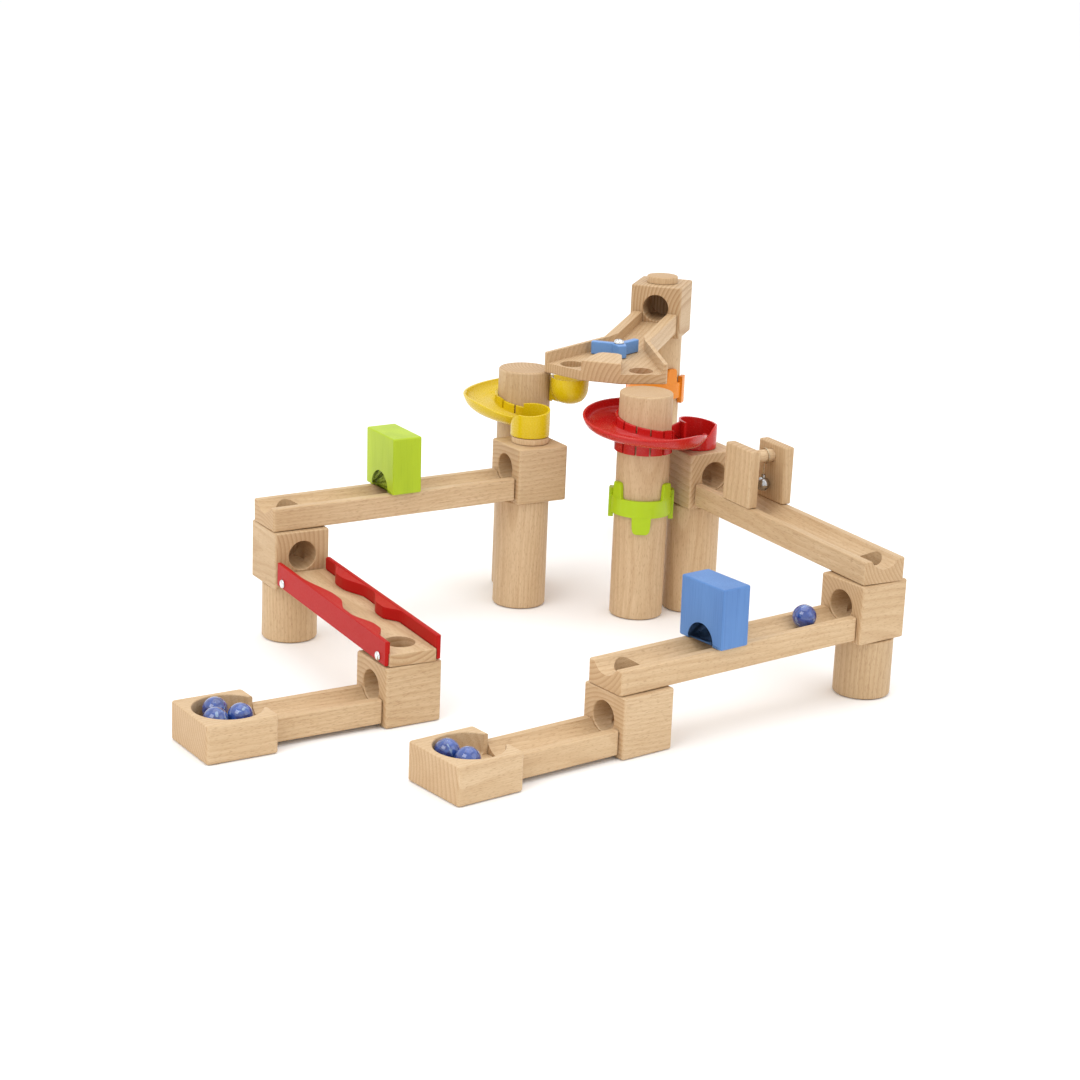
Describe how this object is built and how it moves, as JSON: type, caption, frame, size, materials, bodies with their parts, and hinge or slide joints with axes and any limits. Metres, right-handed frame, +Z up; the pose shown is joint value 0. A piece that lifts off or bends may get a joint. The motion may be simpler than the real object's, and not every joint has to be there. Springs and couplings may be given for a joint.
{
  "type": "marble run",
  "caption": "Wooden marble run: drilled cubes on round columns joined by grooved ramps, with spirals, a points switch, arch blocks, a bell gate and catch trays.",
  "frame": {"origin": "centre of the bounding box's base, on the floor", "axes": "+Z up, +Y towards the start cube at the back, +X to the right seen from the catch trays"},
  "size_m": [0.4636, 0.6096, 0.2095],
  "materials": {
    "beech": "smooth unfinished beech",
    "red_plastic": "gloss",
    "yellow_plastic": "gloss",
    "green_plastic": "satin",
    "orange_plastic": "satin",
    "green_paint": "satin paint on wood",
    "blue_paint": "satin paint on wood",
    "blue_plastic": "gloss",
    "metal": "polished",
    "marble_glass": "opaque swirled glass, polished"
  },
  "bodies": {
    "track": {"column_left_short": "beech", "column_right_short": "beech", "column_left_mid": "beech", "column_right_mid": "beech", "column_left_tall": "beech", "column_front_tall": "beech", "column_back_tall": "beech", "cube_left_top": "beech", "cube_left_mid": "beech", "cube_left_low": "beech", "cube_right_top": "beech", "cube_right_mid": "beech", "cube_right_low": "beech", "cube_start": "beech", "ramp_left_long": "beech", "ramp_right_upper": "beech", "ramp_right_lower": "beech", "ramp_left_short": "beech", "ramp_right_short": "beech", "screw_near_upper": "metal", "screw_far_upper": "metal", "screw_near_lower": "metal", "screw_far_lower": "metal", "zigzag_board": "beech", "zigzag_rail_far": "red_plastic", "zigzag_rail_near": "red_plastic", "tray_left": "beech", "tray_right": "beech", "spiral_red": "red_plastic", "spiral_yellow": "yellow_plastic", "spacer_ring": "beech", "clip_green": "green_plastic", "clip_orange": "orange_plastic", "switch_block": "beech", "switch_pin": "metal"},
    "lever": {"switch_lever": "blue_plastic"},
    "gate": {"gate_board_near": "beech", "gate_board_far": "beech", "gate_dowel": "beech"},
    "bell": {"bell_hanger": "metal", "bell_shell": "metal", "bell_ball": "metal"},
    "arch_green": {"arch_green": "green_paint"},
    "arch_blue": {"arch_blue": "blue_paint"},
    "start_plug": {"start_plug": "beech"},
    "marble_rolling": {"marble_rolling": "marble_glass"},
    "marble_left_1": {"marble_left_1": "marble_glass"},
    "marble_left_2": {"marble_left_2": "marble_glass"},
    "marble_left_3": {"marble_left_3": "marble_glass"},
    "marble_right_1": {"marble_right_1": "marble_glass"},
    "marble_right_2": {"marble_right_2": "marble_glass"}
  },
  "joints": [
    {"name": "lever_turn", "type": "hinge", "parent": "track", "child": "lever", "pos_m": [0.04141, 0.14961, 0.17708], "axis": [-0.0084, -0.0312, 0.9995], "range_deg": [-64, 0]},
    {"name": "gate_slide", "type": "slide", "parent": "track", "child": "gate", "axis": [0.5181, -0.8552, -0.0126], "range_m": [-0.02, 0.09]},
    {"name": "bell_swing", "type": "hinge", "parent": "gate", "child": "bell", "pos_m": [0.13939, 0.0351, 0.13044], "axis": [0.8553, 0.5182, 0], "range_deg": [-35, 35]},
    {"name": "arch_green_slide", "type": "slide", "parent": "track", "child": "arch_green", "axis": [-0.8565, -0.516, -0.0133], "range_m": [-0.07, 0.05]},
    {"name": "arch_blue_slide", "type": "slide", "parent": "track", "child": "arch_blue", "axis": [-0.7926, -0.6097, -0.0127], "range_m": [-0.09, 0.04]},
    {"name": "marble_roll", "type": "slide", "parent": "track", "child": "marble_rolling", "axis": [-0.7926, -0.6097, -0.0127], "range_m": [-0.012, 0.12]},
    {"name": "plug_lift", "type": "slide", "parent": "track", "child": "start_plug", "axis": [0, 0, 1], "range_m": [0, 0.03]},
    {"name": "marble_left_1_lift", "type": "slide", "parent": "track", "child": "marble_left_1", "axis": [0, 0, 1], "range_m": [0, 0.03]},
    {"name": "marble_left_2_lift", "type": "slide", "parent": "track", "child": "marble_left_2", "axis": [0, 0, 1], "range_m": [0, 0.03]},
    {"name": "marble_left_3_lift", "type": "slide", "parent": "track", "child": "marble_left_3", "axis": [0, 0, 1], "range_m": [0, 0.03]},
    {"name": "marble_right_1_lift", "type": "slide", "parent": "track", "child": "marble_right_1", "axis": [0, 0, 1], "range_m": [0, 0.03]},
    {"name": "marble_right_2_lift", "type": "slide", "parent": "track", "child": "marble_right_2", "axis": [0, 0, 1], "range_m": [0, 0.03]}
  ]
}
